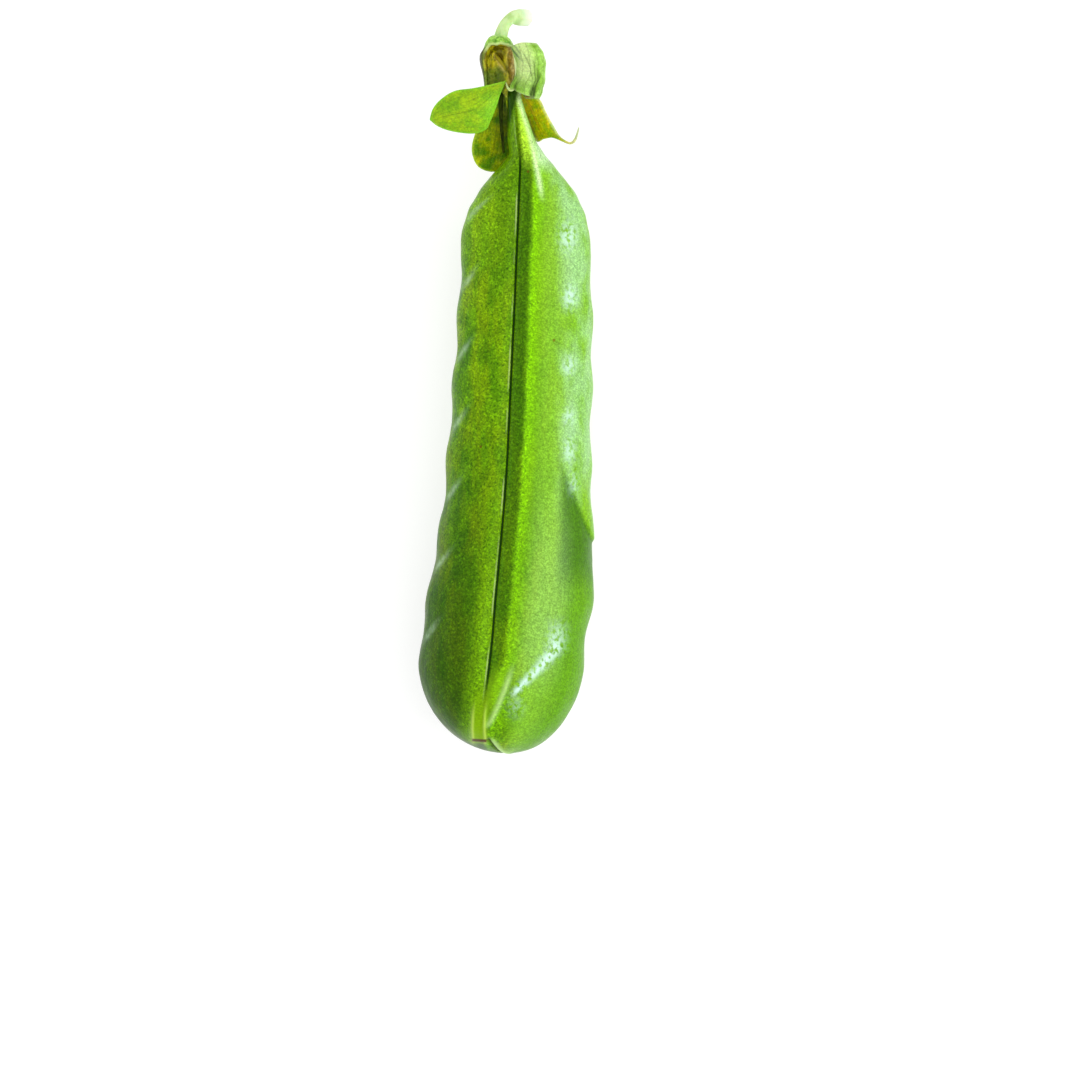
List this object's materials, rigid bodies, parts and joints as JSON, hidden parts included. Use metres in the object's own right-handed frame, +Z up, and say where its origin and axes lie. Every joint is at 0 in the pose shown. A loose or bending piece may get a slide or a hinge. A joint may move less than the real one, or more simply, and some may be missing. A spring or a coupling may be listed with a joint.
{
  "type": "pea pod",
  "caption": "Closed garden pea pod lying on its back, seam up, with a beaked blossom end, a split calyx cup, spreading sepals, dried stamens and a short bent stalk.",
  "frame": {"origin": "middle of the object's footprint, on the surface that the pod lies on", "axes": "+Y along the pod from its blossom end to its stalk, +Z up through the seam, +X to the right of the seam"},
  "size_m": [0.0176, 0.0708, 0.0156],
  "materials": {
    "pod_skin": "waxy satin green skin",
    "calyx_skin": "matte pale green leaf",
    "sepal_skin": "satin yellow-green leaf",
    "dried_fibre": "dry matte brown",
    "stalk_skin": "satin pale green stem"
  },
  "bodies": {
    "root": {"pod": "pod_skin", "calyx_cup": "calyx_skin", "sepal_upper_left": "sepal_skin", "sepal_lower_left": "sepal_skin", "sepal_lower_right": "sepal_skin", "sepal_lower_middle": "sepal_skin", "sepal_upper_right": "calyx_skin", "dried_stamens": "dried_fibre", "stalk": "stalk_skin"}
  },
  "joints": []
}
